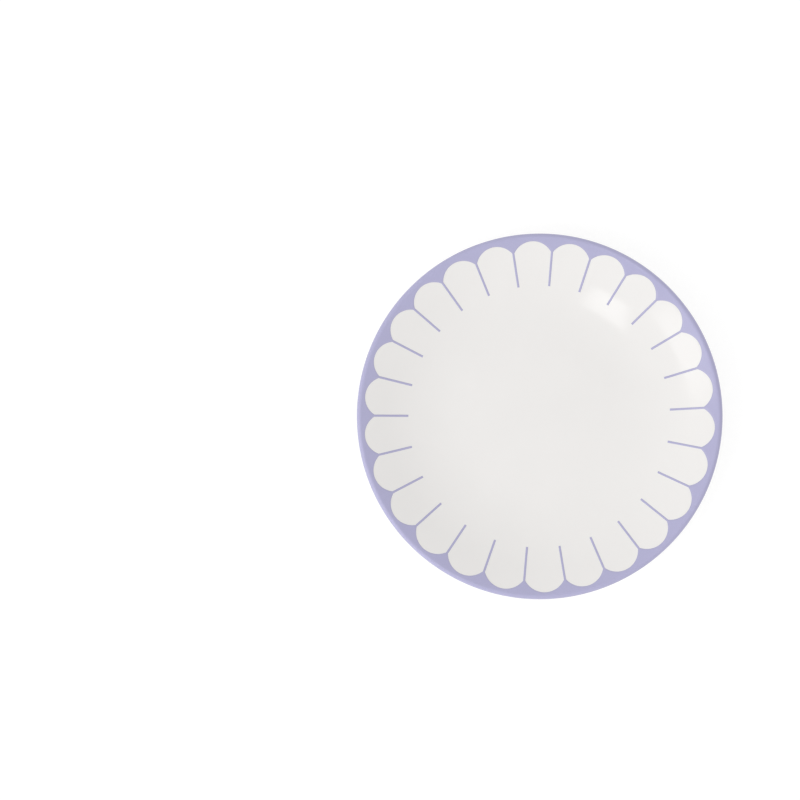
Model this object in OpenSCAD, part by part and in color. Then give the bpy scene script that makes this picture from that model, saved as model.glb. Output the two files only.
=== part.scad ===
// Dessert plate with a scalloped border: a porcelain body on a foot ring, its glaze in two coats,
// and a petal border printed over the glaze.
// The section is one chain of arcs and straight lines, turned round the upright axis.
// Each coat is that same chain grown outwards by the coat's thickness, so the coats nest exactly.

/* [Plate] */
// Overall diameter, over the glaze and the print
plate_d = 210; // [190:1:230]
// Overall height, from the table to the top of the lip
plate_h = 20; // [18:0.5:24]
// Distance from the rim in to the flat middle, where the long curve begins
well_inset = 60; // [50:1:68]
// Where the flat middle and the wall would meet unrounded, as a share of the way out to the lip
wall_bend_share = 0.38; // [0.3:0.01:0.46]
// The same for the underside
under_bend_share = 0.415; // [0.35:0.005:0.46]
// Thickness of the porcelain in the middle
floor_t = 4.4; // [3.5:0.1:5]
// Thickness of the porcelain at the rounded lip
lip_t = 3.2; // [2.6:0.1:5]

/* [Foot] */
// Distance from the rim in to the foot ring
foot_inset = 43; // [38:1:48]
// Width of the foot ring
foot_w = 3.6; // [2.8:0.1:5]
// Depth of the recess inside the foot ring
foot_h = 3; // [2.8:0.1:4]
// Rounding of the bare standing edge
toe_r = 0.9; // [0.5:0.1:1.1]
// Fillet between the foot ring and the underside
heel_r = 1.6; // [1:0.1:2]
// Fillet round the recess inside the foot ring
recess_r = 1.8; // [1:0.1:1.9]

/* [Coats] */
// Thickness of the glaze
glaze_t = 0.3; // [0.2:0.05:0.5]
// Thickness of the printed colour on the glaze
ink_t = 0.14; // [0.1:0.01:0.2]

/* [Border] */
// Number of petals
petals = 26; // [20:1:32]
// Width of the solid colour band at a petal's tip
band_w = 4.2; // [3:0.1:8]
// Radius of a petal's round end, as a share of that petal's width at the rim
petal_round_share = 0.478; // [0.45:0.001:0.52]
// Width of the line between two petals
line_w = 1.2; // [0.8:0.1:2.5]
// Distance from the rim to the inner end of the lines
line_reach = 29.7; // [22:0.1:36]
// How far the print runs round the lip, below its widest point
print_wrap = 12; // [0:1:40]
// Turn of the whole border
print_turn = 1.73; // [-7:0.01:7]
// How far the hand-laid border bunches up towards one side
bunch = 1.78; // [0:0.01:3]
// Where that bunching is strongest
bunch_at = 16.5; // [0:0.1:360]
// How far the border stretches along one direction
stretch = 0.37; // [0:0.01:1]
// Direction of that stretch
stretch_at = 93.1; // [0:0.1:180]
// How far it was pulled about at three places round the plate
pull = 0.18; // [0:0.01:1]
// The first of those places
pull_at = 30; // [0:1:119]
// How far the print sits off the plate's centre
print_off = 0.21; // [0:0.01:0.5]
// Direction in which it sits off
print_off_at = 238; // [0:1:359]

/* [Hidden] */
$fn = 180;

// Straight facets in each arc of the section
arc_steps = 16;
// How far a cutting shape runs past what it cuts
overrun = 2;

right_angle = 90;
half_turn = 180;
pitch = 360 / petals;

plate_r = plate_d / 2;
well_r = plate_r - well_inset;
lip_r = lip_t / 2;
lip_c = [plate_r - ink_t - glaze_t - lip_r, plate_h - ink_t - glaze_t - lip_r];
foot_out_r = plate_r - foot_inset;
foot_in_r = foot_out_r - foot_w;
floor_z = foot_h + floor_t;

// The wall rises from a bend at the floor's level and touches the top of the lip,
// and the underside does the same below
wall_bend = [well_r + wall_bend_share * (lip_c.x - well_r), floor_z];
under_bend = [well_r + under_bend_share * (lip_c.x - well_r), foot_h];
wall_slope = heading(wall_bend, lip_c) + asin(lip_r / norm(lip_c - wall_bend));
under_slope = heading(under_bend, lip_c) - asin(lip_r / norm(lip_c - under_bend));
// The radii that round off those two bends, starting at the edge of the flat middle
well_curve_r = (wall_bend.x - well_r) / tan(wall_slope / 2);
belly_r = (under_bend.x - well_r) / tan(under_slope / 2);

// Centres of the arcs, as distance from the axis and height
well_c = [well_r, floor_z + well_curve_r];
belly_c = [well_r, foot_h + belly_r];
heel_c_r = foot_out_r + heel_r;
heel_c = [heel_c_r, belly_c.y - sqrt(pow(belly_r + heel_r, 2) - pow(heel_c_r - belly_c.x, 2))];
recess_c = [foot_in_r - recess_r, foot_h - recess_r];
toe_out_c = [foot_out_r - toe_r, toe_r];
toe_in_c = [foot_in_r + toe_r, toe_r];

// Where the belly curve hands over to the heel fillet, as seen from the belly's centre
heel_angle = heading(belly_c, heel_c);

// Direction from one point of the section to another, in degrees
function heading(from, to) = atan2(to.y - from.y, to.x - from.x);

// Points along an arc from angle a to angle b
function arc(centre, radius, a, b) =
    [for (k = [0 : arc_steps])
        let (turn = a + (b - a) * k / arc_steps)
        centre + radius * [cos(turn), sin(turn)]];

function reversed(points) = [for (k = [len(points) - 1 : -1 : 0]) points[k]];

// The well curve, grown outwards by t
function well_arc(t) = arc(well_c, well_curve_r - t, -right_angle, wall_slope - right_angle);

// The lip from the wall's upper face down to the angle given, with a point at its top and its widest
function lip_arc(t, last) = concat(
    arc(lip_c, lip_r + t, wall_slope + right_angle, right_angle),
    arc(lip_c, lip_r + t, right_angle, 0),
    arc(lip_c, lip_r + t, 0, last)
);

// The eating face, the lip and the underside down to the toe, grown outwards by t
function face_line(t) = concat(
    [[0, floor_z + t]],
    well_arc(t),
    lip_arc(t, under_slope - right_angle),
    arc(belly_c, belly_r + t, under_slope - right_angle, heel_angle),
    arc(heel_c, heel_r - t, heel_angle + half_turn, half_turn),
    [[foot_out_r + t, toe_r]]
);

// The rounded standing edge of the foot ring, which stays bare
function toe_line() = concat(
    arc(toe_out_c, toe_r, 0, -right_angle),
    arc(toe_in_c, toe_r, -right_angle, -half_turn)
);

// The recess inside the foot ring, from the toe to the axis, grown outwards by t
function base_line(t) = concat(
    [[foot_in_r - t, toe_r]],
    arc(recess_c, recess_r - t, 0, right_angle),
    [[0, foot_h - t]]
);

// The stretch of the face that the print can cover, grown outwards by t
function print_line(t) = concat(well_arc(t), lip_arc(t, -print_wrap));

// Angle round the plate of line number i, and of a petal's middle at i plus a half
function border_angle(i) =
    let (even = print_turn + i * pitch)
    even + bunch * cos(even - bunch_at) + stretch * cos(2 * (even - stretch_at))
        + pull * cos(3 * (even - pull_at));

// Width of petal i, measured round the rim
function petal_w(i) = plate_r * (border_angle(i + 1) - border_angle(i)) * PI / half_turn;

// A closed skin between two copies of one line
module skin(inner, outer) {
    rotate_extrude() polygon(concat(outer, reversed(inner)));
}

// Seen from above: the white petals are cut out of a ring, and the lines are drawn between them
module border_print() {
    petal_tip_r = plate_r - band_w;
    hub_r = petal_tip_r - petal_round_share * plate_r * pitch * PI / half_turn;
    translate(print_off * [cos(print_off_at), sin(print_off_at)]) {
        difference() {
            circle(r = plate_r + overrun);
            circle(r = hub_r);
            for (i = [0 : petals - 1])
                rotate(border_angle(i + 0.5))
                    translate([petal_tip_r - petal_round_share * petal_w(i), 0])
                        circle(r = petal_round_share * petal_w(i));
        }
        for (i = [0 : petals - 1])
            rotate(border_angle(i))
                translate([plate_r - line_reach, -line_w / 2])
                    square([line_reach - band_w, line_w]);
    }
}

module plate_body() {
    color("#efece6")
        rotate_extrude()
            polygon(concat(face_line(0), toe_line(), base_line(0)));
}

module outer_glaze() {
    color("#f6f5f1")
        skin(face_line(0), face_line(glaze_t));
}

module recess_glaze() {
    color("#f6f5f1")
        skin(base_line(0), base_line(glaze_t));
}

module printed_border() {
    color("#b8b5d3")
        intersection() {
            skin(print_line(glaze_t), print_line(glaze_t + ink_t));
            linear_extrude(height = plate_h + overrun) border_print();
        }
}

plate_body();
outer_glaze();
recess_glaze();
printed_border();
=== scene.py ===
"""Dressed model of a scalloped dessert plate: a body, its glaze in two coats and a printed border.

The plate's sizes are in millimetres, the same named values as its solids, and turn into metres
where a mesh is made. Studio sizes are in metres.
"""

import logging
import math
from collections.abc import Callable
from dataclasses import dataclass, field
from enum import Enum
from functools import cached_property, partial
from typing import Any, NamedTuple

import bpy
import numpy as np
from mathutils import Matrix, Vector


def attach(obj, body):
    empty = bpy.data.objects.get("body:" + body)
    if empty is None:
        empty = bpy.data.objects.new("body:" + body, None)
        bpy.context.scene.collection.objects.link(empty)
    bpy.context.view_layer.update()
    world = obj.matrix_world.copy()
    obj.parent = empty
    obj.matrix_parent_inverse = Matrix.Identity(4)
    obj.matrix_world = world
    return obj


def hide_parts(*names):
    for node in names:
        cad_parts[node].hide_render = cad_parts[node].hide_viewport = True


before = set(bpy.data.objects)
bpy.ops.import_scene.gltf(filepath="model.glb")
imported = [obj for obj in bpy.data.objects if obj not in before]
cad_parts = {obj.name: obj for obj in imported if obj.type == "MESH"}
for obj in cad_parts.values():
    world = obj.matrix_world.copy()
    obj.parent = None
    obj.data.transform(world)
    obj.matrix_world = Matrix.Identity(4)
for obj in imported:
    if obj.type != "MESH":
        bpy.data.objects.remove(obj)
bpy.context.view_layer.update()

log = logging.getLogger("dessert_plate")

MM = 0.001
FULL_TURN = 360.0
HALF_TURN = 180.0
RIGHT_ANGLE = 90.0
# Edges that turn by more than this stay crisp
CRISP_ANGLE = 50.0

Array = np.ndarray
Socket = bpy.types.NodeSocket
# add_node with its tree already given
Adder = Callable[..., bpy.types.Node]


# Small tools for sections and meshes


def heading(start: Array, end: Array) -> float:
    """Direction from one section point to another: the arctangent of rise over run, in degrees."""
    return math.degrees(math.atan2(end[1] - start[1], end[0] - start[0]))


def arc(centre: Array, radius: float, first: float, last: float, steps: int) -> Array:
    """Points along an arc: the centre plus the radius times an even turn's cosine and sine.

    Args:
        centre: The arc's centre.
        radius: Its radius.
        first: The angle it starts at, in degrees.
        last: The angle it ends at, in degrees.
        steps: How many steps it takes.

    Returns:
        One row for each point.
    """
    turn = np.radians(np.linspace(first, last, steps + 1))
    return centre + radius * np.column_stack((np.cos(turn), np.sin(turn)))


def straight(start: Array, end: Array, steps: int) -> Array:
    """Points spaced evenly from one point up to another, which is left out.

    Args:
        start: The first point.
        end: The point it runs to.
        steps: How many points it has.

    Returns:
        One row for each point.
    """
    share = np.arange(steps)[:, None] / steps
    return start + share * (end - start)


def polar(angle: Array | float, distance: Array | float) -> Array:
    """Plan points: the distance from the axis times the cosine and sine of the angle.

    Args:
        angle: The angles round the plate, in degrees.
        distance: The distances from the axis.

    Returns:
        An array with one more axis, for x and y.
    """
    turn = np.radians(angle)
    return np.stack((distance * np.cos(turn), distance * np.sin(turn)), axis=-1)


def direction(plan: Array) -> Array:
    """Angle of each plan point round the origin, in degrees."""
    return np.degrees(np.arctan2(plan[..., 1], plan[..., 0]))


def from_axis(plan: Array) -> Array:
    """Distance of each plan point from the axis."""
    return np.hypot(plan[..., 0], plan[..., 1])


def short_way(angle: Array) -> Array:
    """The same angle in degrees, taken the short way round."""
    return (angle + HALF_TURN) % FULL_TURN - HALF_TURN


def lifted(plan: Array, level: Array) -> Array:
    """Plan points at a height, one row for each point."""
    return np.concatenate((plan, level[..., None]), axis=-1).reshape(-1, 3)


def column_turns(columns: int) -> Array:
    """The angles of columns spaced evenly round the axis, in radians."""
    return np.arange(columns) * 2 * math.pi / columns


def close_ring(number: Array) -> Array:
    """A grid of point numbers with its first column once more at its end."""
    return np.concatenate((number, number[:, :1]), axis=1)


def grid_quads(number: Array) -> Array:
    """The faces of a grid: each point with the one below it, the one beside that and its own.

    Args:
        number: Point numbers, with rows and columns as the last two axes.

    Returns:
        Four corner numbers for each face.
    """
    upper, lower = number[..., :-1, :], number[..., 1:, :]
    corners = (upper[..., :-1], lower[..., :-1], lower[..., 1:], upper[..., 1:])
    return np.stack(corners, axis=-1).reshape(-1, 4)


def make_piece(
    name: str, points: Array, faces: list[Array], traits: dict[str, Array]
) -> bpy.types.Object:
    """Puts a surface into a mesh object at the origin, shaded smoothly but for crisp edges.

    Args:
        name: The piece's name.
        points: Its points in millimetres.
        faces: Arrays of corner numbers, one array for each count of corners.
        traits: Named values, one for each point, that its finish reads.

    Returns:
        The new object.
    """
    mesh = bpy.data.meshes.new(name)
    corners = [row for group in faces for row in group.tolist()]
    mesh.from_pydata((points * MM).astype(np.float32), [], corners)
    for trait, values in traits.items():
        layer = mesh.attributes.new(trait, "FLOAT", "POINT")
        layer.data.foreach_set("value", values.astype(np.float32))
    mesh.shade_smooth()
    mesh.set_sharp_from_angle(angle=math.radians(CRISP_ANGLE))
    mesh.validate()
    piece = bpy.data.objects.new(name, mesh)
    bpy.context.scene.collection.objects.link(piece)
    return piece


def turn_on_axis(
    section: Array, columns: int, lift: Array | float = 0.0
) -> tuple[Array, list[Array]]:
    """Turns a section that starts and ends on the axis into a closed surface.

    A point at row j and column k lies at the section's distance from the axis, in the direction of
    k steps round a full turn, at the section's height plus the lift given there. Each end is one
    point on the axis.

    Args:
        section: The section's points, from the axis round to the axis.
        columns: How many columns go round.
        lift: What is added to the height of each row, but the ends, at each column.

    Returns:
        The points, and the four- and three-cornered faces.
    """
    rings = section[1:-1]
    turn = column_turns(columns)
    x = rings[:, :1] * np.cos(turn)
    y = rings[:, :1] * np.sin(turn)
    z = np.repeat(rings[:, 1:], columns, axis=1) + lift
    grid = np.stack((x, y, z), axis=-1).reshape(-1, 3)
    first = [[0.0, 0.0, section[0, 1]]]
    last = [[0.0, 0.0, section[-1, 1]]]
    points = np.concatenate((first, grid, last))
    number = close_ring(1 + np.arange(len(grid)).reshape(len(rings), columns))
    start = np.zeros(columns, int)
    end = np.full(columns, len(points) - 1)
    top = np.column_stack((start, number[0, :-1], number[0, 1:]))
    bottom = np.column_stack((number[-1, :-1], end, number[-1, 1:]))
    return points, [grid_quads(number), np.concatenate((top, bottom))]


def close_film(upper: Array, lower: Array, quads: Array) -> tuple[Array, list[Array]]:
    """Closes a film: the upper face, the lower one turned over, and a wall along every open edge.

    An edge is open where only one face has it.

    Args:
        upper: The upper face's points.
        lower: The lower face's points, in the same order.
        quads: The upper face's four-cornered faces.

    Returns:
        All points, and the faces.
    """
    count = len(upper)
    edges = np.concatenate([quads[:, [k, (k + 1) % 4]] for k in range(4)])
    keys = edges.min(axis=1) * count + edges.max(axis=1)
    _, place, times = np.unique(keys, return_index=True, return_counts=True)
    start, end = edges[place[times == 1]].T
    wall = np.column_stack((end, start, start + count, end + count))
    return np.concatenate((upper, lower)), [quads, quads[:, ::-1] + count, wall]


# The plate's own shapes


@dataclass(frozen=True)
class Section:
    """The plate's section, from the axis outwards: arcs and straight lines that join smoothly."""

    plate_d: float = 210.0
    plate_h: float = 20.0
    well_inset: float = 60.0
    wall_bend_share: float = 0.38
    under_bend_share: float = 0.415
    floor_t: float = 4.4
    lip_t: float = 3.2
    foot_inset: float = 43.0
    foot_w: float = 3.6
    foot_h: float = 3.0
    toe_r: float = 0.9
    heel_r: float = 1.6
    recess_r: float = 1.8
    glaze_t: float = 0.3
    ink_t: float = 0.14
    flat_steps: int = 5
    well_steps: int = 26
    slope_steps: int = 4
    lip_steps: int = 24
    belly_steps: int = 18
    fillet_steps: int = 8
    toe_steps: int = 3
    recess_steps: int = 6

    @property
    def plate_r(self) -> float:
        """Radius over everything."""
        return self.plate_d / 2

    @property
    def well_r(self) -> float:
        """Radius of the flat middle."""
        return self.plate_r - self.well_inset

    @property
    def lip_r(self) -> float:
        """Radius of the rounded lip."""
        return self.lip_t / 2

    @property
    def floor_z(self) -> float:
        """Height of the porcelain in the middle."""
        return self.foot_h + self.floor_t

    @property
    def foot_out_r(self) -> float:
        """Outer radius of the foot ring."""
        return self.plate_r - self.foot_inset

    @property
    def foot_in_r(self) -> float:
        """Inner radius of the foot ring."""
        return self.foot_out_r - self.foot_w

    @cached_property
    def lip_c(self) -> Array:
        """Centre of the lip's arc."""
        inset = self.ink_t + self.glaze_t + self.lip_r
        return np.array([self.plate_r - inset, self.plate_h - inset])

    def bend_reach(self, share: float) -> float:
        """Distance from the flat middle's edge to a bend, a share of the way out to the lip."""
        return share * (self.lip_c[0] - self.well_r)

    def slope(self, share: float, level: float, side: int) -> float:
        """Slope of the line from a bend that touches the lip's arc.

        Args:
            share: How far out the bend lies, as a share of the way to the lip.
            level: The bend's height.
            side: 1 to touch the arc's top, -1 to touch its bottom.

        Returns:
            The heading of the arc's centre plus or minus the angle its radius spans, in degrees.
        """
        bend = np.array([self.well_r + self.bend_reach(share), level])
        span = math.degrees(math.asin(self.lip_r / np.linalg.norm(self.lip_c - bend)))
        return heading(bend, self.lip_c) + side * span

    def curve_r(self, share: float, slope: float) -> float:
        """Radius that rounds off a bend: its reach over the tangent of half the slope."""
        return self.bend_reach(share) / math.tan(math.radians(slope / 2))

    @cached_property
    def wall_slope(self) -> float:
        """Slope of the wall, in degrees."""
        return self.slope(self.wall_bend_share, self.floor_z, 1)

    @cached_property
    def under_slope(self) -> float:
        """Slope of the underside, in degrees."""
        return self.slope(self.under_bend_share, self.foot_h, -1)

    @cached_property
    def well_curve_r(self) -> float:
        """Radius of the long curve from the flat middle to the wall."""
        return self.curve_r(self.wall_bend_share, self.wall_slope)

    @cached_property
    def belly_r(self) -> float:
        """Radius of the long curve under it."""
        return self.curve_r(self.under_bend_share, self.under_slope)

    @cached_property
    def well_c(self) -> Array:
        """Centre of the well's curve."""
        return np.array([self.well_r, self.floor_z + self.well_curve_r])

    @cached_property
    def belly_c(self) -> Array:
        """Centre of the belly's curve."""
        return np.array([self.well_r, self.foot_h + self.belly_r])

    @cached_property
    def heel_c(self) -> Array:
        """Centre of the fillet between the belly and the foot ring.

        Returns:
            Its distance from the axis and its height, where the fillet touches both.
        """
        x = self.foot_out_r + self.heel_r
        drop = math.sqrt((self.belly_r + self.heel_r) ** 2 - (x - self.belly_c[0]) ** 2)
        return np.array([x, self.belly_c[1] - drop])

    @cached_property
    def recess_c(self) -> Array:
        """Centre of the fillet inside the foot ring."""
        return np.array([self.foot_in_r - self.recess_r, self.foot_h - self.recess_r])

    def lip_line(self, t: float, last: float) -> Array:
        """The lip grown outwards by t, from the wall round to the angle given in degrees."""
        first = self.wall_slope + RIGHT_ANGLE
        return arc(self.lip_c, self.lip_r + t, first, last, self.lip_steps)

    def face_line(self, t: float) -> Array:
        """The eating face, the lip and the underside down to the heel's end, grown outwards by t.

        Args:
            t: How far the line lies outside the porcelain.

        Returns:
            The line's points, from the axis outwards and down.
        """
        wall = self.wall_slope - RIGHT_ANGLE
        under = self.under_slope - RIGHT_ANGLE
        heel = heading(self.belly_c, self.heel_c)
        middle = np.array([0.0, self.floor_z + t])
        well = arc(self.well_c, self.well_curve_r - t, -RIGHT_ANGLE, wall, self.well_steps)
        lip = self.lip_line(t, under)
        belly = arc(self.belly_c, self.belly_r + t, under, heel, self.belly_steps)
        fillet = arc(self.heel_c, self.heel_r - t, heel + HALF_TURN, HALF_TURN, self.fillet_steps)
        return np.concatenate(
            (
                straight(middle, well[0], self.flat_steps),
                well[:-1],
                straight(well[-1], lip[0], self.slope_steps),
                lip[:-1],
                straight(lip[-1], belly[0], self.slope_steps),
                belly[:-1],
                fillet,
            )
        )

    def recess_line(self, t: float) -> Array:
        """The recess from the fillet inside the foot ring to the axis, grown outwards by t.

        Args:
            t: How far the line lies outside the porcelain.

        Returns:
            The line's points.
        """
        fillet = arc(self.recess_c, self.recess_r - t, 0.0, RIGHT_ANGLE, self.fillet_steps)
        middle = np.array([0.0, self.foot_h - t])
        ceiling = straight(fillet[-1], middle, self.recess_steps)
        return np.concatenate((fillet[:-1], ceiling, [middle]))

    def toe_line(self) -> Array:
        """The rounded standing edge of the foot ring.

        Returns:
            The line's points, from the ring's outside to its inside.
        """
        out_c = np.array([self.foot_out_r - self.toe_r, self.toe_r])
        in_c = np.array([self.foot_in_r + self.toe_r, self.toe_r])
        outer = arc(out_c, self.toe_r, 0.0, -RIGHT_ANGLE, self.fillet_steps)
        inner = arc(in_c, self.toe_r, -RIGHT_ANGLE, -HALF_TURN, self.fillet_steps)
        sole = straight(outer[-1], inner[0], self.toe_steps)
        return np.concatenate((outer[:-1], sole, inner))

    def height(self, distance: Array, t: Array) -> Array:
        """Height of the eating face grown outwards by t, short of the lip.

        It is level in the middle, then the lower part of a circle, then a straight slope.

        Args:
            distance: Distances from the axis.
            t: How far the face lies outside the porcelain.

        Returns:
            The heights, in the same arrangement.
        """
        slope = math.radians(self.wall_slope)
        curve_r = self.well_curve_r - t
        along = np.clip(distance - self.well_r, 0.0, curve_r * math.sin(slope))
        curved = self.well_c[1] - np.sqrt(curve_r**2 - along**2)
        past = distance - (self.well_r + curve_r * math.sin(slope))
        return curved + np.clip(past, 0.0, None) * math.tan(slope)


class Coat(Enum):
    """Which stretch of the porcelain a coat of glaze covers, by the solid that it stands for."""

    FACE = "outer_glaze"
    RECESS = "recess_glaze"


class Wave(NamedTuple):
    """One of the sines that make an edge waver: how many a turn, how strong and where it starts."""

    count: int
    weight: float
    phase: float


# How much of its depth the glaze loses over the lip, and gains in the hollows
THIN_LOSS = 0.6
POOL_GAIN = 0.7


@dataclass(frozen=True)
class GlazeCoat:
    """One coat of glaze: a closed skin whose bare end wavers a little where it was wiped."""

    coat: Coat
    section: Section = field(default_factory=Section)
    edge_gap: float = 0.25
    waver: float = 0.12
    waves: tuple[Wave, ...] = (Wave(5, 1.0, 0.4), Wave(13, 0.6, 2.1), Wave(29, 0.4, 4.0))
    end_round: float = 0.15
    end_steps: int = 4
    thin_reach: float = 0.3
    pool_reach: float = 3.0
    columns: int = 360

    def edge_wave(self, turn: Array) -> Array:
        """How far the wiped edge lies above its mean at a turn: the weighted mean of its sines."""
        total = sum(wave.weight * np.sin(wave.count * turn + wave.phase) for wave in self.waves)
        return self.waver * total / sum(wave.weight for wave in self.waves)

    def end_line(self, wall_r: float, outwards: float) -> Array:
        """The coat's rounded end: a quarter of an ellipse from the porcelain to its surface.

        Args:
            wall_r: Radius of the foot ring's wall.
            outwards: 1 where the coat lies outside that wall, -1 where it lies inside.

        Returns:
            The points, from the wall up to the surface.
        """
        turn = np.radians(np.linspace(0.0, RIGHT_ANGLE, self.end_steps + 1))
        across = wall_r + outwards * self.section.glaze_t * np.sin(turn)
        level = self.section.toe_r + self.edge_gap + self.end_round * (1.0 - np.cos(turn))
        return np.column_stack((across, level))

    def sides(self) -> tuple[Array, Array, Array]:
        """The coat's first face, its rounded end and its second face, as the skin is walked.

        Returns:
            Their lines, surface first for the face's coat and porcelain first for the recess's.
        """
        s = self.section
        if self.coat is Coat.FACE:
            end = self.end_line(s.foot_out_r, 1.0)
            return s.face_line(s.glaze_t), end[::-1], s.face_line(0.0)[::-1]
        end = self.end_line(s.foot_in_r, -1.0)
        return s.recess_line(0.0)[::-1], end, s.recess_line(s.glaze_t)

    def depth(self, line: Array) -> Array:
        """How deep the glaze lies: 1 on the faces, less over the lip and more in the hollows.

        Args:
            line: Points of the section.

        Returns:
            One value for each point: 1, less a bump that fades as the exponential of the distance's
            fourth power, plus bumps that fade as that of its square.
        """
        s = self.section
        away = np.linalg.norm(line - s.lip_c, axis=1) / (s.lip_r + self.thin_reach)
        pools = 0.0
        for hollow in (s.heel_c, s.recess_c + np.array([0.0, s.recess_r])):
            pools += np.exp(-((np.linalg.norm(line - hollow, axis=1) / self.pool_reach) ** 2))
        return 1.0 - THIN_LOSS * np.exp(-(away**4)) + POOL_GAIN * pools

    def build(self) -> bpy.types.Object:
        """Turns the skin's section round the axis, with the wavering edge.

        Returns:
            The coat's object.
        """
        sides = self.sides()
        line = np.concatenate(sides)
        moving = np.repeat([0.0, 1.0, 0.0], [len(side) for side in sides])
        lift = moving[1:-1, None] * self.edge_wave(column_turns(self.columns))
        points, faces = turn_on_axis(line, self.columns, lift)
        depth = self.depth(line)
        spread = np.concatenate((depth[:1], np.repeat(depth[1:-1], self.columns), depth[-1:]))
        return make_piece(f"{self.coat.value}_coat", points, faces, {"glaze_depth": spread})


@dataclass(frozen=True)
class PorcelainBody:
    """The fired body. Only the standing edge of its foot ring stays bare."""

    section: Section = field(default_factory=Section)
    columns: int = 360

    def build(self) -> bpy.types.Object:
        """Turns the whole section round the axis.

        Returns:
            The body's object.
        """
        s = self.section
        line = np.concatenate((s.face_line(0.0), s.toe_line(), s.recess_line(0.0)))
        points, faces = turn_on_axis(line, self.columns)
        return make_piece("porcelain_body", points, faces, {})


@dataclass(frozen=True)
class PetalBorder:
    """The printed border: a band round the lip, white petals left out of it, and lines between."""

    section: Section = field(default_factory=Section)
    petals: int = 26
    band_w: float = 4.2
    petal_round_share: float = 0.478
    line_w: float = 1.2
    line_reach: float = 29.7
    print_wrap: float = 12.0
    print_turn: float = 1.73
    bunch: float = 1.78
    bunch_at: float = 16.5
    stretch: float = 0.37
    stretch_at: float = 93.1
    pull: float = 0.18
    pull_at: float = 30.0
    print_off: float = 0.21
    print_off_at: float = 238.0
    edge_t: float = 0.05
    sunk: float = 0.03
    bead: float = 0.3
    arc_columns: int = 37
    line_columns: int = 5
    line_rows: int = 30
    band_steps: int = 4

    @property
    def numbers(self) -> Array:
        """The numbers of the petals, and of the line before each."""
        return np.arange(self.petals)

    @property
    def band_rows(self) -> int:
        """Rows of points in the band: its edge, its bead, on up to the lip and round it."""
        return 2 + self.band_steps + self.section.lip_steps

    @cached_property
    def middle(self) -> Array:
        """The print's centre, a little off the plate's."""
        return polar(self.print_off_at, self.print_off)

    def line_angle(self, number: Array) -> Array:
        """Angle of a line: evenly spaced, plus 1, 2 and 3 waves round the plate, as laid by hand.

        Args:
            number: Line numbers, and a half more for a petal's middle.

        Returns:
            The angles in degrees.
        """
        even = self.print_turn + number * FULL_TURN / self.petals
        first = self.bunch * np.cos(np.radians(even - self.bunch_at))
        second = self.stretch * np.cos(np.radians(2 * (even - self.stretch_at)))
        third = self.pull * np.cos(np.radians(3 * (even - self.pull_at)))
        return even + first + second + third

    def petal(self, number: Array) -> tuple[Array, Array, Array]:
        """Each petal's round end, whose radius is a share of its own width at the rim.

        Args:
            number: Petal numbers.

        Returns:
            The angle of its middle, its circle's distance from the axis, and the radius.
        """
        span = self.line_angle(number + 1) - self.line_angle(number)
        radius = self.petal_round_share * (self.section.plate_r * np.radians(span))
        return self.line_angle(number + 0.5), self.section.plate_r - self.band_w - radius, radius

    def shoulder(self, number: Array, side: int) -> Array:
        """How far out one side of each line cuts the circle of the petal beside it.

        Args:
            number: Line numbers.
            side: 1 for the side towards the next petal, -1 for the other.

        Returns:
            The distances along the lines.
        """
        middle, distance, radius = self.petal(number if side > 0 else number - 1)
        centre = polar(middle - self.line_angle(number), distance)
        offset = side * self.line_w / 2 - centre[..., 1]
        return centre[..., 0] + np.sqrt(radius**2 - offset**2)

    def along_line(self, number: Array, x: Array, y: Array | float) -> Array:
        """Plan points given by their place along and across a line.

        Args:
            number: The line's numbers.
            x: Distance along it from the axis.
            y: Distance across it.

        Returns:
            The points, turned by the line's angle.
        """
        turn = np.radians(self.line_angle(number))
        cos, sin = np.cos(turn), np.sin(turn)
        return np.stack((x * cos - y * sin, x * sin + y * cos), axis=-1)

    def line_ends(self, number: Array) -> tuple[Array, Array]:
        """Places along and across each column of a line, where the line runs into the band.

        Args:
            number: Line numbers, with one more axis for the columns.

        Returns:
            The distances from the axis, from shoulder to shoulder, and the distances across.
        """
        share = np.linspace(0.0, 1.0, self.line_columns)
        left, right = self.shoulder(number, -1), self.shoulder(number, 1)
        return left + (right - left) * share, self.line_w * (share - 0.5)

    def inner_edge(self) -> tuple[Array, Array]:
        """The band's inner edge: across each line's end, then along the next petal's round end.

        Returns:
            Plan points by petal, and 1 for each inside the colour or 0 for each on its edge.
        """
        number = self.numbers[:, None]
        x, y = self.line_ends(number)
        across = self.along_line(number, x[:, 1:-1], y[1:-1])
        middle, distance, radius = self.petal(number)
        centre = polar(middle, distance)
        half = self.line_w / 2
        start = self.along_line(number, self.shoulder(number, 1), half) - centre
        end = self.along_line(number + 1, self.shoulder(number + 1, -1), -half) - centre
        first = short_way(direction(start) - middle)
        last = short_way(direction(end) - middle)
        turn = middle + first + (last - first) * np.linspace(0.0, 1.0, self.arc_columns)
        edge = np.concatenate((across, centre + polar(turn, radius)), axis=1) + self.middle
        inside = np.repeat([1.0, 0.0], [self.line_columns - 2, self.arc_columns])
        return edge.reshape(-1, 2), np.tile(inside, self.petals)

    def line_plan(self) -> Array:
        """Plan points of every line, short of the row that it shares with the band.

        Returns:
            The points by line, row and column.
        """
        number = self.numbers[:, None, None]
        x, y = self.line_ends(number)
        start = self.section.plate_r - self.line_reach
        rows = np.arange(self.line_rows)[:, None] / self.line_rows
        return self.along_line(number, start + rows * (x - start), y) + self.middle

    def by_column(self, side: float, body: float) -> Array:
        """A value for each column of a line: one at its two sides, another between them."""
        return np.array([side, *[body] * (self.line_columns - 2), side])

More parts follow.
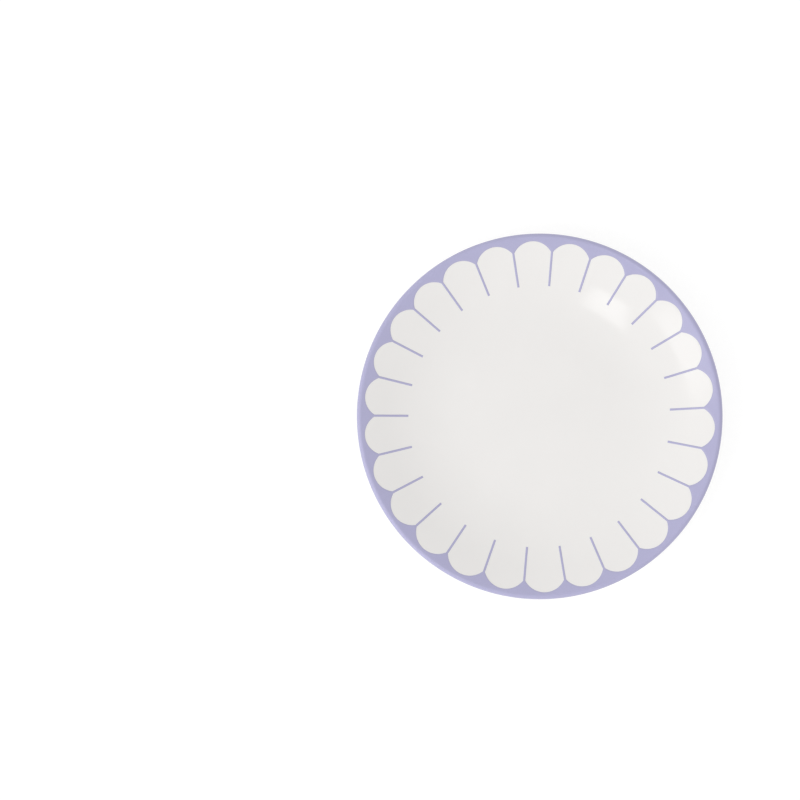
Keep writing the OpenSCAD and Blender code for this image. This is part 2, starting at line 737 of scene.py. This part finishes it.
    def sheet(self, t: float, edge_t: float) -> Array:
        """One face of the film: outside the porcelain by t, and by edge_t along the film's edge.

        Rows run from the band's inner edge at a constant angle out to the lip and round it. The
        lines are strips that end in the band's inner edge.

        Args:
            t: How far the face lies outside the porcelain.
            edge_t: The same along the film's edge.

        Returns:
            The points: the band by rows, then the lines.
        """
        s = self.section
        edge, inside = self.inner_edge()
        near = from_axis(edge)
        beaded = near + self.bead
        lip = s.lip_line(t, -self.print_wrap)
        lip[-1] = s.lip_line(edge_t, -self.print_wrap)[-1]
        share = np.arange(1, self.band_steps)[:, None] / self.band_steps
        face_r = np.concatenate(([near, beaded], beaded + share * (lip[0, 0] - beaded)))
        outwards = np.full_like(face_r, t)
        outwards[0] = np.where(inside > 0.0, t, edge_t)
        lip_r, lip_z = np.repeat(lip.T[..., None], len(near), axis=-1)
        distance = np.concatenate((face_r, lip_r))
        level = np.concatenate((s.height(face_r, outwards), lip_z))
        band = lifted(polar(direction(edge)[None], distance), level)
        plan = self.line_plan()
        lines = lifted(plan, s.height(from_axis(plan), self.by_column(edge_t, t)))
        return np.concatenate((band, lines))

    def quads(self) -> Array:
        """The faces of the band and of the lines.

        Returns:
            Four corner numbers for each face.
        """
        per_petal = self.line_columns - 2 + self.arc_columns
        columns = self.petals * per_petal
        band = np.arange(self.band_rows * columns).reshape(self.band_rows, columns)
        shape = (self.petals, self.line_rows, self.line_columns)
        strips = band.size + np.arange(math.prod(shape)).reshape(shape)
        reach = np.arange(self.line_columns) - 1
        shared = (self.numbers[:, None] * per_petal + reach) % columns
        lines = np.concatenate((strips, shared[:, None, :]), axis=1)
        return np.concatenate((grid_quads(close_ring(band)), grid_quads(lines)))

    def colour_body(self) -> Array:
        """1 for each point of a face inside the colour and 0 for each on its edge.

        Returns:
            The values: the band by rows, then the lines.
        """
        _, inside = self.inner_edge()
        band = np.ones((self.band_rows, len(inside)))
        band[0] = inside
        band[-1] = 0.0
        lines = np.tile(self.by_column(0.0, 1.0), self.petals * self.line_rows)
        return np.concatenate((band.ravel(), lines))

    def build(self) -> bpy.types.Object:
        """Closes the film between its upper face and one just under the glaze's surface.

        Returns:
            The border's object.
        """
        glaze_t = self.section.glaze_t
        upper = self.sheet(glaze_t + self.section.ink_t, glaze_t + self.edge_t)
        lower = self.sheet(glaze_t - self.sunk, glaze_t - self.sunk)
        points, faces = close_film(upper, lower, self.quads())
        both = np.tile(self.colour_body(), 2)
        return make_piece("printed_petals", points, faces, {"colour_body": both})


# Finishes

# Sockets of a Mix node for colours: the share, the two colours and what comes out
MIX_SHARE = 0
MIX_FROM = 6
MIX_TO = 7
MIXED = 2
# Where nearly all values of a noise lie
NOISE_SPAN = {"From Min": 0.3, "From Max": 0.7}


def linear_colour(srgb: str) -> tuple[float, float, float, float]:
    """Turns an sRGB hex colour into the linear one that a shader takes.

    Args:
        srgb: The colour, as # and six hex digits.

    Returns:
        Red, green, blue and a full alpha.
    """
    share = np.array([int(srgb[k : k + 2], 16) for k in (1, 3, 5)]) / 255
    linear = np.where(share <= 0.04045, share / 12.92, ((share + 0.055) / 1.055) ** 2.4)
    return (float(linear[0]), float(linear[1]), float(linear[2]), 1.0)


def add_node(
    tree: bpy.types.NodeTree, kind: str, inputs: dict[str | int, Any], **settings: Any
) -> bpy.types.Node:
    """Adds a node with its values, links and settings.

    Args:
        tree: The node tree.
        kind: The node's type.
        inputs: For each input's name or number, a value or the socket that feeds it.
        settings: Properties of the node itself.

    Returns:
        The new node.
    """
    node = tree.nodes.new(kind)
    for name, value in settings.items():
        setattr(node, name, value)
    for name, value in inputs.items():
        if isinstance(value, Socket):
            tree.links.new(value, node.inputs[name])
        else:
            node.inputs[name].default_value = value
    return node


def empty_tree(owner: bpy.types.Material | bpy.types.World) -> Adder:
    """Gives a material or a world an empty node tree.

    Args:
        owner: The material or the world.

    Returns:
        add_node for that tree.
    """
    owner.use_nodes = True
    owner.node_tree.nodes.clear()
    return partial(add_node, owner.node_tree)


@dataclass(frozen=True)
class GlazedPorcelain:
    """Hard-paste porcelain under a clear fired glaze: a warm white that shines like glass.

    The glaze levels itself in the kiln but keeps a faint orange peel, 3 mm from crest to crest. It
    is warmer where it draws thin over the lip and cooler where it pools.
    """

    name: str = "glazed_porcelain"
    colour: str = "#f1efed"
    thin_colour: str = "#eeebe4"
    pooled_colour: str = "#edefeb"
    cloud: float = 0.012
    cloud_mm: float = 28.0
    peel_mm: float = 3.0
    peel_depth_mm: float = 0.004
    peel_detail: float = 1.5
    peel_roughness: float = 0.4
    roughness: float = 0.09
    roughness_swing: float = 0.02
    ior: float = 1.52

    def material(self) -> bpy.types.Material:
        """Builds the node material.

        Returns:
            The material.
        """
        material = bpy.data.materials.new(self.name)
        add = empty_tree(material)
        place = add("ShaderNodeTexCoord", {}).outputs["Object"]
        trait = add("ShaderNodeAttribute", {}, attribute_name="glaze_depth")
        depth = trait.outputs["Fac"]
        thin = add("ShaderNodeMapRange", {"Value": depth, "From Min": 1.0 - THIN_LOSS})
        pooled = add(
            "ShaderNodeMapRange", {"Value": depth, "From Min": 1.0, "From Max": 1.0 + POOL_GAIN}
        )
        from_thin = add(
            "ShaderNodeMix",
            {
                MIX_SHARE: thin.outputs[0],
                MIX_FROM: linear_colour(self.thin_colour),
                MIX_TO: linear_colour(self.colour),
            },
            data_type="RGBA",
        )
        colour = add(
            "ShaderNodeMix",
            {
                MIX_SHARE: pooled.outputs[0],
                MIX_FROM: from_thin.outputs[MIXED],
                MIX_TO: linear_colour(self.pooled_colour),
            },
            data_type="RGBA",
        )
        cloud = add("ShaderNodeTexNoise", {"Vector": place, "Scale": 1 / (self.cloud_mm * MM)})
        shade = add(
            "ShaderNodeMapRange",
            {"Value": cloud.outputs[0], **NOISE_SPAN, "To Min": 1 - self.cloud},
        )
        tint = add(
            "ShaderNodeVectorMath",
            {0: colour.outputs[MIXED], "Scale": shade.outputs[0]},
            operation="SCALE",
        )
        gloss = add(
            "ShaderNodeMapRange",
            {
                "Value": cloud.outputs[0],
                **NOISE_SPAN,
                "To Min": self.roughness,
                "To Max": self.roughness + self.roughness_swing,
            },
        )
        peel = add(
            "ShaderNodeTexNoise",
            {
                "Vector": place,
                "Scale": 1 / (self.peel_mm * MM),
                "Detail": self.peel_detail,
                "Roughness": self.peel_roughness,
            },
        )
        depth_m = self.peel_depth_mm * MM
        bump = add("ShaderNodeBump", {"Height": peel.outputs[0], "Distance": depth_m})
        shader = add(
            "ShaderNodeBsdfPrincipled",
            {
                "Base Color": tint.outputs[0],
                "Roughness": gloss.outputs[0],
                "IOR": self.ior,
                "Normal": bump.outputs[0],
            },
        )
        add("ShaderNodeOutputMaterial", {"Surface": shader.outputs[0]})
        return material


@dataclass(frozen=True)
class BarePorcelain:
    """Unglazed porcelain, ground flat after firing: a dry, slightly greyer white with fine rings.

    The rings are drawn 0.45 mm apart and the grit 0.3 mm, which is coarser than the real ones, so
    that they show. The very edge is rubbed smooth and grey by the table.
    """

    name: str = "bare_porcelain"
    colour: str = "#e6dfd3"
    ring_colour: str = "#d8cfc0"
    rubbed_colour: str = "#cfc9be"
    ring_mm: float = 0.45
    ring_wander: float = 2.0
    ring_relief: float = 0.5
    grit_mm: float = 0.3
    grit_detail: float = 3.0
    grit_roughness: float = 0.6
    relief_mm: float = 0.02
    roughness: float = 0.75
    rubbed_roughness: float = 0.5
    rubbed_share: float = 0.8
    rub_mm: float = 0.12

    def material(self) -> bpy.types.Material:
        """Builds the node material.

        Returns:
            The material.
        """
        material = bpy.data.materials.new(self.name)
        add = empty_tree(material)
        place = add("ShaderNodeTexCoord", {}).outputs["Object"]
        flat = add("ShaderNodeVectorMath", {0: place, 1: (1.0, 1.0, 0.0)}, operation="MULTIPLY")
        reach = add("ShaderNodeVectorMath", {0: flat.outputs[0]}, operation="LENGTH")
        grit = add(
            "ShaderNodeTexNoise",
            {
                "Vector": place,
                "Scale": 1 / (self.grit_mm * MM),
                "Detail": self.grit_detail,
                "Roughness": self.grit_roughness,
            },
        )
        waves = add(
            "ShaderNodeMath",
            {0: reach.outputs["Value"], 1: 2 * math.pi / (self.ring_mm * MM)},
            operation="MULTIPLY",
        )
        wander = add(
            "ShaderNodeMath",
            {0: grit.outputs[0], 1: self.ring_wander, 2: waves.outputs[0]},
            operation="MULTIPLY_ADD",
        )
        ring = add("ShaderNodeMath", {0: wander.outputs[0]}, operation="SINE")
        ring_share = add("ShaderNodeMapRange", {"Value": ring.outputs[0], "From Min": -1.0})
        ground = add(
            "ShaderNodeMix",
            {
                MIX_SHARE: ring_share.outputs[0],
                MIX_FROM: linear_colour(self.ring_colour),
                MIX_TO: linear_colour(self.colour),
            },
            data_type="RGBA",
        )
        parts = add("ShaderNodeSeparateXYZ", {0: place})
        rubbed = add(
            "ShaderNodeMapRange",
            {
                "Value": parts.outputs["Z"],
                "From Min": self.rub_mm * MM,
                "From Max": 0.0,
                "To Max": self.rubbed_share,
            },
        )
        colour = add(
            "ShaderNodeMix",
            {
                MIX_SHARE: rubbed.outputs[0],
                MIX_FROM: ground.outputs[MIXED],
                MIX_TO: linear_colour(self.rubbed_colour),
            },
            data_type="RGBA",
        )
        rough = add(
            "ShaderNodeMapRange",
            {"Value": rubbed.outputs[0], "To Min": self.roughness, "To Max": self.rubbed_roughness},
        )
        relief = add(
            "ShaderNodeMath",
            {0: ring_share.outputs[0], 1: self.ring_relief, 2: grit.outputs[0]},
            operation="MULTIPLY_ADD",
        )
        depth_m = self.relief_mm * MM
        bump = add("ShaderNodeBump", {"Height": relief.outputs[0], "Distance": depth_m})
        shader = add(
            "ShaderNodeBsdfPrincipled",
            {
                "Base Color": colour.outputs[MIXED],
                "Roughness": rough.outputs[0],
                "Normal": bump.outputs[0],
            },
        )
        add("ShaderNodeOutputMaterial", {"Surface": shader.outputs[0]})
        return material


@dataclass(frozen=True)
class CeramicInk:
    """Ceramic colour screen-printed and fired on: a soft lavender, less glassy than the glaze.

    The screen leaves a faint mottle, drawn 0.5 mm across so that it shows, and the colour stands a
    touch deeper along its edges, where the wet film draws together.
    """

    name: str = "fired_ceramic_ink"
    colour: str = "#b6b4d6"
    edge_colour: str = "#a9a7cb"
    mottle: float = 0.05
    mottle_mm: float = 0.5
    mottle_detail: float = 2.0
    drift: float = 0.02
    drift_mm: float = 18.0
    relief_mm: float = 0.0015
    roughness: float = 0.14
    ior: float = 1.52

    def material(self) -> bpy.types.Material:
        """Builds the node material.

        Returns:
            The material.
        """
        material = bpy.data.materials.new(self.name)
        add = empty_tree(material)
        place = add("ShaderNodeTexCoord", {}).outputs["Object"]
        trait = add("ShaderNodeAttribute", {}, attribute_name="colour_body")
        body = trait.outputs["Fac"]
        colour = add(
            "ShaderNodeMix",
            {
                MIX_SHARE: body,
                MIX_FROM: linear_colour(self.edge_colour),
                MIX_TO: linear_colour(self.colour),
            },
            data_type="RGBA",
        )
        grain = add(
            "ShaderNodeTexNoise",
            {"Vector": place, "Scale": 1 / (self.mottle_mm * MM), "Detail": self.mottle_detail},
        )
        drift = add("ShaderNodeTexNoise", {"Vector": place, "Scale": 1 / (self.drift_mm * MM)})
        grain_shade, drift_shade = (
            add(
                "ShaderNodeMapRange",
                {"Value": noise.outputs[0], **NOISE_SPAN, "To Min": 1 - loss},
            )
            for noise, loss in ((grain, self.mottle), (drift, self.drift))
        )
        shade = add(
            "ShaderNodeMath",
            {0: grain_shade.outputs[0], 1: drift_shade.outputs[0]},
            operation="MULTIPLY",
        )
        tint = add(
            "ShaderNodeVectorMath",
            {0: colour.outputs[MIXED], "Scale": shade.outputs[0]},
            operation="SCALE",
        )
        depth_m = self.relief_mm * MM
        bump = add("ShaderNodeBump", {"Height": grain.outputs[0], "Distance": depth_m})
        shader = add(
            "ShaderNodeBsdfPrincipled",
            {
                "Base Color": tint.outputs[0],
                "Roughness": self.roughness,
                "IOR": self.ior,
                "Normal": bump.outputs[0],
            },
        )
        add("ShaderNodeOutputMaterial", {"Surface": shader.outputs[0]})
        return material


# The plate, put together


@dataclass(frozen=True)
class DessertPlate:
    """The whole plate: its pieces, and the solid, the finish and the slot of each."""

    section: Section = field(default_factory=Section)
    glaze: GlazedPorcelain = field(default_factory=GlazedPorcelain)
    bare: BarePorcelain = field(default_factory=BarePorcelain)
    ink: CeramicInk = field(default_factory=CeramicInk)
    recess_edge_gap: float = 0.08
    recess_waver: float = 0.05

    def dress(
        self, piece: bpy.types.Object, material: bpy.types.Material, node: str
    ) -> None:
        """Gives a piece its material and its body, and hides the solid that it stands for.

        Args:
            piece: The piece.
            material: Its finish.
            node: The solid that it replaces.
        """
        piece.data.materials.append(material)
        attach(piece, "root")
        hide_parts(node)

    def build(self) -> list[bpy.types.Object]:
        """Builds and dresses every piece.

        Returns:
            The finished pieces.
        """
        glaze = self.glaze.material()
        body = PorcelainBody(self.section).build()
        self.dress(body, self.bare.material(), "plate_body")
        gap, waver = self.recess_edge_gap, self.recess_waver
        face = GlazeCoat(Coat.FACE, self.section).build()
        self.dress(face, glaze, Coat.FACE.value)
        recess = GlazeCoat(Coat.RECESS, self.section, edge_gap=gap, waver=waver).build()
        self.dress(recess, glaze, Coat.RECESS.value)
        border = PetalBorder(self.section).build()
        self.dress(border, self.ink.material(), "printed_border")
        return [body, face, recess, border]


# The studio

WHITE = (1.0, 1.0, 1.0, 1.0)


@dataclass(frozen=True)
class Softbox:
    """A square-cornered soft lamp that faces the plate.

    It stands in the direction given by its turn from +X and its tilt from straight up, in degrees.
    One that is not mirrored is a bounced light: it lights the plate, and gloss doesn't show it.
    """

    name: str
    turn: float
    tilt: float
    width: float
    height: float
    radiance: float
    distance: float = 2.0
    mirrored: bool = True

    def build(self) -> None:
        """Makes the lamp. A matt emitter gives off its radiance times its area times pi."""
        lamp = bpy.data.lights.new(self.name, "AREA")
        lamp.shape = "RECTANGLE"
        lamp.size = self.width
        lamp.size_y = self.height
        lamp.energy = self.radiance * self.width * self.height * math.pi
        holder = bpy.data.objects.new(self.name, lamp)
        turn = math.radians(self.turn)
        tilt = math.radians(self.tilt)
        out = math.sin(tilt)
        towards = Vector((out * math.cos(turn), out * math.sin(turn), math.cos(tilt)))
        holder.location = towards * self.distance
        holder.rotation_euler = towards.to_track_quat("Z", "Y").to_euler()
        holder.visible_camera = False
        holder.visible_glossy = self.mirrored
        bpy.context.scene.collection.objects.link(holder)
        log.info("%s: %.2f W", self.name, lamp.energy)


@dataclass(frozen=True)
class Studio:
    """A white room with a pale floor, an even glow, a broad light, a strip and a small lamp.

    Most of the broad light is bounced, so gloss shows little of it and the well doesn't burn out
    against it. The bounced part stands a little behind the mirrored one and is as much larger.
    """

    lamps: tuple[Softbox, ...] = (
        Softbox("broad_softbox", turn=211.0, tilt=59.5, width=1.9, height=1.36, radiance=0.45),
        Softbox(
            "broad_bounce",
            turn=211.0,
            tilt=59.5,
            width=2.09,
            height=1.5,
            radiance=1.45,
            distance=2.2,
            mirrored=False,
        ),
        Softbox("strip_softbox", turn=204.0, tilt=35.6, width=0.8, height=0.33, radiance=1.6),
        Softbox("small_softbox", turn=241.8, tilt=21.6, width=0.26, height=0.38, radiance=2.15),
    )
    glow: float = 0.756
    floor_side: float = 24.0
    floor_drop: float = 0.00005
    floor_colour: str = "#f2f2f2"
    white_share: float = 0.7
    white_level: float = 1.15

    def seen_plainly(self, add: Adder) -> Socket:
        """1 for what is seen directly, by reflection or through glass, 0 for the light that lands.

        Args:
            add: add_node for the tree that needs it.

        Returns:
            The socket that carries it.
        """
        path = add("ShaderNodeLightPath", {})
        seen = add(
            "ShaderNodeMath",
            {0: path.outputs["Is Camera Ray"], 1: path.outputs["Is Glossy Ray"]},
            operation="ADD",
        )
        every = add(
            "ShaderNodeMath",
            {0: seen.outputs[0], 1: path.outputs["Is Transmission Ray"]},
            operation="ADD",
            use_clamp=True,
        )
        return every.outputs[0]

    def build_room(self) -> None:
        """Makes the white surroundings: white where seen, and an even light where it lands."""
        world = bpy.data.worlds.new("white_room")
        add = empty_tree(world)
        strength = add("ShaderNodeMapRange", {"Value": self.seen_plainly(add), "To Min": self.glow})
        light = add("ShaderNodeBackground", {"Color": WHITE, "Strength": strength.outputs[0]})
        add("ShaderNodeOutputWorld", {"Surface": light.outputs[0]})
        bpy.context.scene.world = world

    def build_floor(self) -> None:
        """Makes the floor: matt and pale, and seen nearly white, with the plate's shadow kept."""
        half = self.floor_side / 2
        mesh = bpy.data.meshes.new("floor")
        corners = [(-half, -half), (half, -half), (half, half), (-half, half)]
        mesh.from_pydata([(x, y, -self.floor_drop) for x, y in corners], [], [(0, 1, 2, 3)])
        floor = bpy.data.objects.new("floor", mesh)
        bpy.context.scene.collection.objects.link(floor)
        material = bpy.data.materials.new("pale_paper")
        add = empty_tree(material)
        matt = add("ShaderNodeBsdfDiffuse", {"Color": linear_colour(self.floor_colour)})
        white = add("ShaderNodeEmission", {"Strength": self.white_level})
        share = add(
            "ShaderNodeMath",
            {0: self.seen_plainly(add), 1: self.white_share},
            operation="MULTIPLY",
        )
        both = add(
            "ShaderNodeMixShader", {0: share.outputs[0], 1: matt.outputs[0], 2: white.outputs[0]}
        )
        add("ShaderNodeOutputMaterial", {"Surface": both.outputs[0]})
        mesh.materials.append(material)

    def build(self) -> None:
        """Makes the room, the floor and the lamps."""
        self.build_room()
        self.build_floor()
        for lamp in self.lamps:
            lamp.build()
        bpy.context.scene.view_settings.view_transform = "Standard"


@dataclass(frozen=True)
class OverheadCamera:
    """A camera straight above, so placed that the plate has the photograph's place and size."""

    section: Section = field(default_factory=Section)
    frame_px: float = 800.0
    outline_px: float = 182.9
    outline_x_px: float = 539.69
    outline_y_px: float = 416.42
    distance: float = 3.0
    far_limit: float = 100.0
    sensor_mm: float = 36.0

    def build(self) -> None:
        """Makes the camera: its lens is the sensor times the distance over the width in view."""
        metres_per_px = self.section.plate_r * MM / self.outline_px
        data = bpy.data.cameras.new("overhead")
        data.sensor_width = self.sensor_mm
        data.lens = self.sensor_mm * self.distance / (self.frame_px * metres_per_px)
        data.clip_end = self.far_limit
        camera = bpy.data.objects.new("overhead", data)
        middle = self.frame_px / 2
        x = (middle - self.outline_x_px) * metres_per_px
        y = (self.outline_y_px - middle) * metres_per_px
        camera.location = (x, y, self.distance + self.section.lip_c[1] * MM)
        bpy.context.scene.collection.objects.link(camera)
        bpy.context.scene.camera = camera
        log.info("lens %.1f mm", data.lens)


def main() -> None:
    """Builds the camera, the studio and the plate, in that order, and reports each piece."""
    logging.basicConfig(level=logging.INFO)
    OverheadCamera().build()
    Studio().build()
    for piece in DessertPlate().build():
        mesh = piece.data
        log.info("%s: %d points, %d faces", piece.name, len(mesh.vertices), len(mesh.polygons))


if __name__ == "__main__":
    main()
